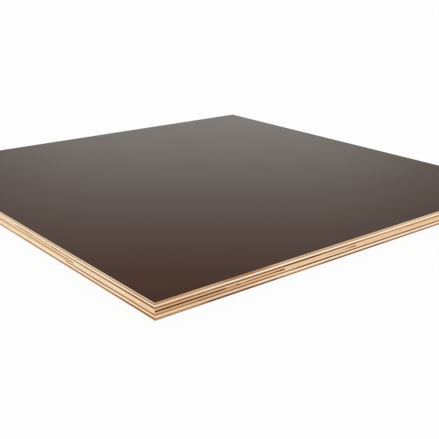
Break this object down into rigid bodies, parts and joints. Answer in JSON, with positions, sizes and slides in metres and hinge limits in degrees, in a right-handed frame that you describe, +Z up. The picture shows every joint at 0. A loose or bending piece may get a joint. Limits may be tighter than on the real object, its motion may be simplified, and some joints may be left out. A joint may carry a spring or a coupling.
{
  "type": "plywood sheet",
  "caption": "Square film-faced birch plywood sheet that lies flat: dark smooth film on both faces, crisp sawn edges with light and dark veneers in turn.",
  "frame": {"origin": "centre of the sheet's underside", "axes": "+Z up through the thickness, +X along the grain of the face veneers"},
  "size_m": [0.5, 0.5, 0.015],
  "materials": {
    "phenolic_film": "satin",
    "birch_long_grain": "matte",
    "birch_cross_grain": "matte"
  },
  "bodies": {
    "root": {"film_top": "phenolic_film", "face_veneer_01": "birch_long_grain", "cross_veneer_02": "birch_cross_grain", "long_veneer_03": "birch_long_grain", "cross_veneer_04": "birch_cross_grain", "long_veneer_05": "birch_long_grain", "cross_veneer_06": "birch_cross_grain", "long_veneer_07": "birch_long_grain", "cross_veneer_08": "birch_cross_grain", "long_veneer_09": "birch_long_grain", "cross_veneer_10": "birch_cross_grain", "face_veneer_11": "birch_long_grain", "film_underside": "phenolic_film"}
  },
  "joints": []
}
